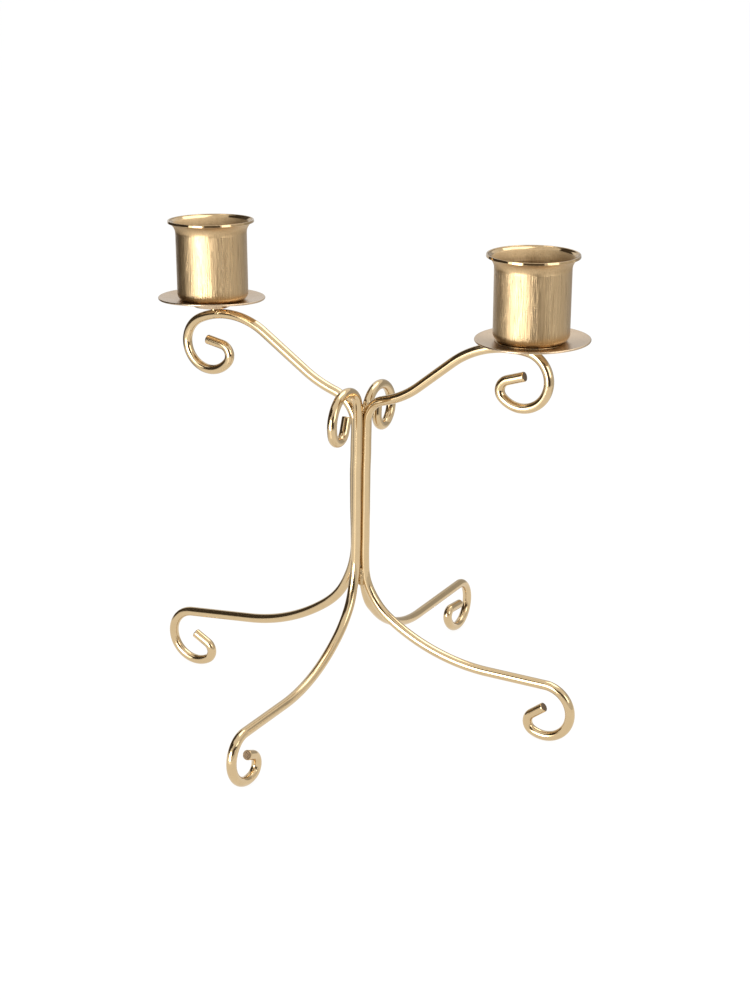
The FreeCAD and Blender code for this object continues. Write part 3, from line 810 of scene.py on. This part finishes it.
# Studio: white sweep, soft lamps, and grey and dark cards that only the polished metal sees. Azimuths go
# round the stem from the camera's side to the right, in degrees; sizes are in metres and tones are grey.
studio = {
    "aim": 0.08,  # height on the stem that lamps and cards face
    "floor": 40.0,
    "background": 1.03,
    "fill": 0.9,
    "floorWhite": 0.86,
    "floorGlow": 1.03,  # the white that the camera and the metal see in the floor
    "glowShare": 0.9,  # the rest is the lit floor with the holder's faint shadow
    "lamps": {
        "strip": {"azimuth": -37, "height": -2, "away": 0.46, "size": (0.20, 0.34), "power": 1.75},
        "stripSide": {"azimuth": -42, "height": -1, "away": 0.48, "size": (0.32, 0.36), "power": 0.75},
        "soft": {"azimuth": 45, "height": 17, "away": 0.7, "size": (0.32, 0.40), "power": 0.95},
        "over": {"azimuth": 135, "height": 67, "away": 1.1, "size": (0.62, 0.7), "power": 3.4},
    },
    "walls": {  # azimuth from and to, distance, foot and top, tone
        "leftBackWall": (-180, -160, 0.5, 0.0, 0.35, 0.8),
        "leftGreyWall": (-160, -142, 0.42, 0.0, 0.30, 0.8),
        "leftHighWall": (-160, -142, 0.42, 0.30, 0.85, 0.07),
        "leftWall": (-142, -94, 0.42, 0.0, 0.85, 0.06),
        "leftLowWall": (-94, -62, 0.42, 0.0, 0.09, 0.85),
        "leftSideWall": (-94, -62, 0.42, 0.09, 0.50, 0.05),
        "leftPost": (-64, -45, 0.41, 0.30, 0.53, 0.05),
        "nearCard": (-1, 40, 0.20, 0.067, 0.117, 0.05),
        "frontLowWall": (-20, 22, 0.40, 0.0, 0.09, 0.8),
        "frontWall": (-20, 26, 0.40, 0.09, 0.30, 0.12),
        "frontHighWall": (-20, 24, 0.40, 0.30, 0.42, 0.55),
        "rightFrontWall": (22, 100, 0.42, 0.0, 0.14, 0.72),
        "rightWall": (60, 108, 0.42, 0.14, 0.30, 0.75),
        "rightBackWall": (108, 160, 0.45, 0.0, 0.34, 0.5),
        "backWall": (158, 180, 0.5, 0.0, 0.30, 0.64),
    },
    "patches": {  # cards that lie on the floor
        "dullFloor": {"azimuth": -138, "away": 0.30, "size": (0.42, 0.26), "tone": 0.5},
        "rightFloor": {"azimuth": 120, "away": 0.34, "size": (0.5, 0.30), "tone": 0.72},
        "litFloor": {"azimuth": -31, "away": 0.235, "size": (0.09, 0.21), "tone": 1.6},
    },
    "patchHeight": 0.0005,
    "shade": (1.2, 1.0, 0.8),  # a card below darkTone is a warm brown, the others are grey
    "darkTone": 0.4,
}


def facingStem(azimuth, height, away):
    turn = math.radians(shot["turn"] - 90 + azimuth)
    up = math.radians(height)
    outwards = Vector((math.cos(turn) * math.cos(up), math.sin(turn) * math.cos(up), math.sin(up)))
    turned = outwards.to_track_quat("Z", "Y").to_matrix().to_4x4()
    return Matrix.Translation(Vector((0, 0, studio["aim"])) + outwards * away) @ turned


def cameraOrMirror(tree):
    # 1 where the eye or a mirror-like bounce looks, else 0
    path = addNode(tree, "ShaderNodeLightPath").outputs
    seen = addNode(tree, "ShaderNodeMath", {"operation": "MAXIMUM"}, {
        0: path["Is Camera Ray"], 1: path["Is Glossy Ray"]})
    return addNode(tree, "ShaderNodeMath", {"operation": "MAXIMUM"}, {
        0: seen.outputs[0], 1: path["Is Transmission Ray"]}).outputs[0]


def lightWorld():
    world = bpy.data.worlds.new("studioWhite")
    bpy.context.scene.world = world
    world.use_nodes = True
    tree = world.node_tree
    tree.nodes.clear()
    fill = addNode(tree, "ShaderNodeBackground", inputs={"Color": (1, 1, 1, 1), "Strength": studio["fill"]})
    seen = addNode(tree, "ShaderNodeBackground", inputs={"Color": (1, 1, 1, 1), "Strength": studio["background"]})
    mixed = addNode(tree, "ShaderNodeMixShader", inputs={
        0: cameraOrMirror(tree), 1: fill.outputs[0], 2: seen.outputs[0]})
    addNode(tree, "ShaderNodeOutputWorld", inputs={"Surface": mixed.outputs[0]})


def stagePlane(name, width, depth, place, material):
    mesh = bpy.data.meshes.new(name)
    corners = [(width * x / 2, depth * y / 2, 0) for x, y in ((-1, -1), (1, -1), (1, 1), (-1, 1))]
    mesh.from_pydata([place @ Vector(corner) for corner in corners], [], [(0, 1, 2, 3)])
    mesh.materials.append(material)
    plane = newPiece(name, mesh)
    return plane


def addCard(name, width, depth, place, tone):
    material, tree = newMaterial(name)
    colour = [tone * part if tone < studio["darkTone"] else tone for part in studio["shade"]]
    paper = addNode(tree, "ShaderNodeEmission", inputs={"Color": (*colour, 1), "Strength": 1.0})
    addNode(tree, "ShaderNodeOutputMaterial", inputs={"Surface": paper.outputs[0]})
    card = stagePlane(name, width, depth, place, material)
    card.visible_camera = False
    card.visible_shadow = False
    card.visible_diffuse = False


def makeStage():
    material, tree = newMaterial("whiteSweep")
    matt = addNode(tree, "ShaderNodeBsdfDiffuse", inputs={"Color": (studio["floorWhite"],) * 3 + (1,)})
    lit = addNode(tree, "ShaderNodeEmission", inputs={"Strength": studio["floorGlow"]})
    share = addNode(tree, "ShaderNodeMath", {"operation": "MULTIPLY"}, {
        0: cameraOrMirror(tree), 1: studio["glowShare"]})
    mixed = addNode(tree, "ShaderNodeMixShader", inputs={0: share.outputs[0], 1: matt.outputs[0], 2: lit.outputs[0]})
    addNode(tree, "ShaderNodeOutputMaterial", inputs={"Surface": mixed.outputs[0]})
    stagePlane("floor", studio["floor"], studio["floor"], Matrix(), material)
    for name, (first, last, away, foot, top, tone) in studio["walls"].items():
        place = facingStem((first + last) / 2, 0, away)
        place.translation.z = (foot + top) / 2
        width = 2 * away * math.tan(math.radians((last - first) / 2))
        addCard(name, width, top - foot, place, tone)
    for name, patch in studio["patches"].items():
        place = facingStem(patch["azimuth"], 0, patch["away"]) @ Matrix.Rotation(math.radians(-90), 4, "X")
        place.translation.z = studio["patchHeight"]
        addCard(name, patch["size"][0], patch["size"][1], place, patch["tone"])
    for name, values in studio["lamps"].items():
        lamp = bpy.data.lights.new(name, "AREA")
        lamp.shape = "RECTANGLE"
        lamp.size, lamp.size_y = values["size"]
        lamp.energy = values["power"]
        holder = bpy.data.objects.new(name, lamp)
        bpy.context.scene.collection.objects.link(holder)
        holder.matrix_world = facingStem(values["azimuth"], values["height"], values["away"])
        holder.visible_camera = False


lightWorld()
makeStage()
bpy.context.scene.view_settings.view_transform = "Standard"
print("studio lit")
